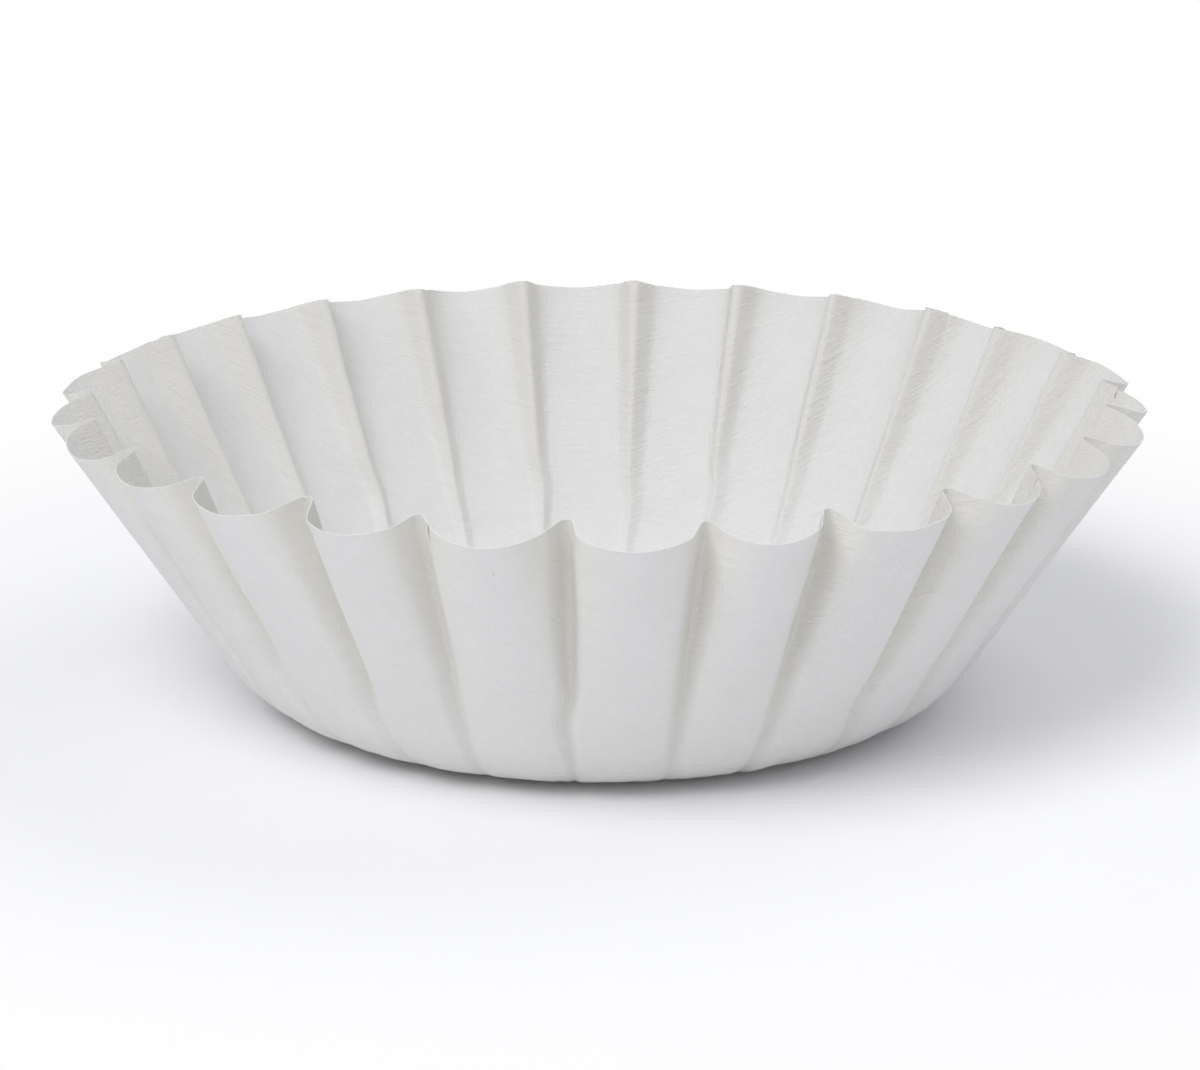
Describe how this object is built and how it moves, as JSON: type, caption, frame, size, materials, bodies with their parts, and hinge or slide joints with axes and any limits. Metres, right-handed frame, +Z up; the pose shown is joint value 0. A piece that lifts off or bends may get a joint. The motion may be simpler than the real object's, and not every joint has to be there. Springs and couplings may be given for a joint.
{
  "type": "paper coffee filter",
  "caption": "Basket coffee filter pressed from one round sheet of thin white paper: flat floor, rounded foot and a flared, fluted wall with a wavy rim.",
  "frame": {"origin": "centre of the floor's underside, on the plane that the filter stands on", "axes": "+Z up along the cup's axis, from the floor towards the open rim"},
  "size_m": [0.1932, 0.1944, 0.0555],
  "materials": {
    "filter_paper": "matt, finely creped white filter paper"
  },
  "bodies": {
    "root": {"paper_filter": "filter_paper"}
  },
  "joints": []
}
